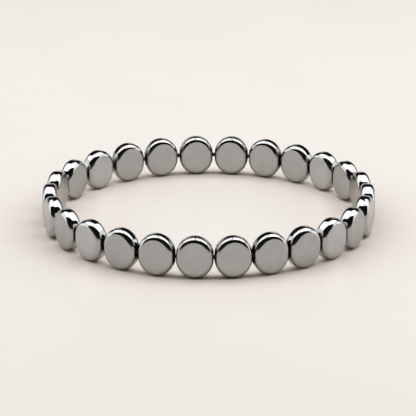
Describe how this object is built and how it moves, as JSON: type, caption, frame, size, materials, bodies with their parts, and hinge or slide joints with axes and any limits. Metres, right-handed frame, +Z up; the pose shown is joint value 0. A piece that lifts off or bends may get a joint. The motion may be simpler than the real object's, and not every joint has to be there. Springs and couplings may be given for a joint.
{
  "type": "hematite bead stretch bracelet",
  "caption": "Closed stretch bracelet of polished flat oval hematite beads, standing on edge side by side in a ring on a hidden elastic cord.",
  "frame": {"origin": "centre of the bracelet's ring, on the table that the beads stand on", "axes": "+Z up from the table, the way a hand goes through the ring; +X along the ring's longer width, to the right in the picture; -Y towards the near side of the ring"},
  "size_m": [0.0646, 0.0624, 0.0079],
  "materials": {
    "hematite": "mirror polished, dark silver",
    "elastic_cord": "matt black"
  },
  "bodies": {
    "root": {"bead_01": "hematite", "bead_02": "hematite", "bead_03": "hematite", "bead_04": "hematite", "bead_05": "hematite", "bead_06": "hematite", "bead_07": "hematite", "bead_08": "hematite", "bead_09": "hematite", "bead_10": "hematite", "bead_11": "hematite", "bead_12": "hematite", "bead_13": "hematite", "bead_14": "hematite", "bead_15": "hematite", "bead_16": "hematite", "bead_17": "hematite", "bead_18": "hematite", "bead_19": "hematite", "bead_20": "hematite", "bead_21": "hematite", "bead_22": "hematite", "bead_23": "hematite", "bead_24": "hematite", "bead_25": "hematite", "bead_26": "hematite", "elastic_cord": "elastic_cord"}
  },
  "joints": []
}
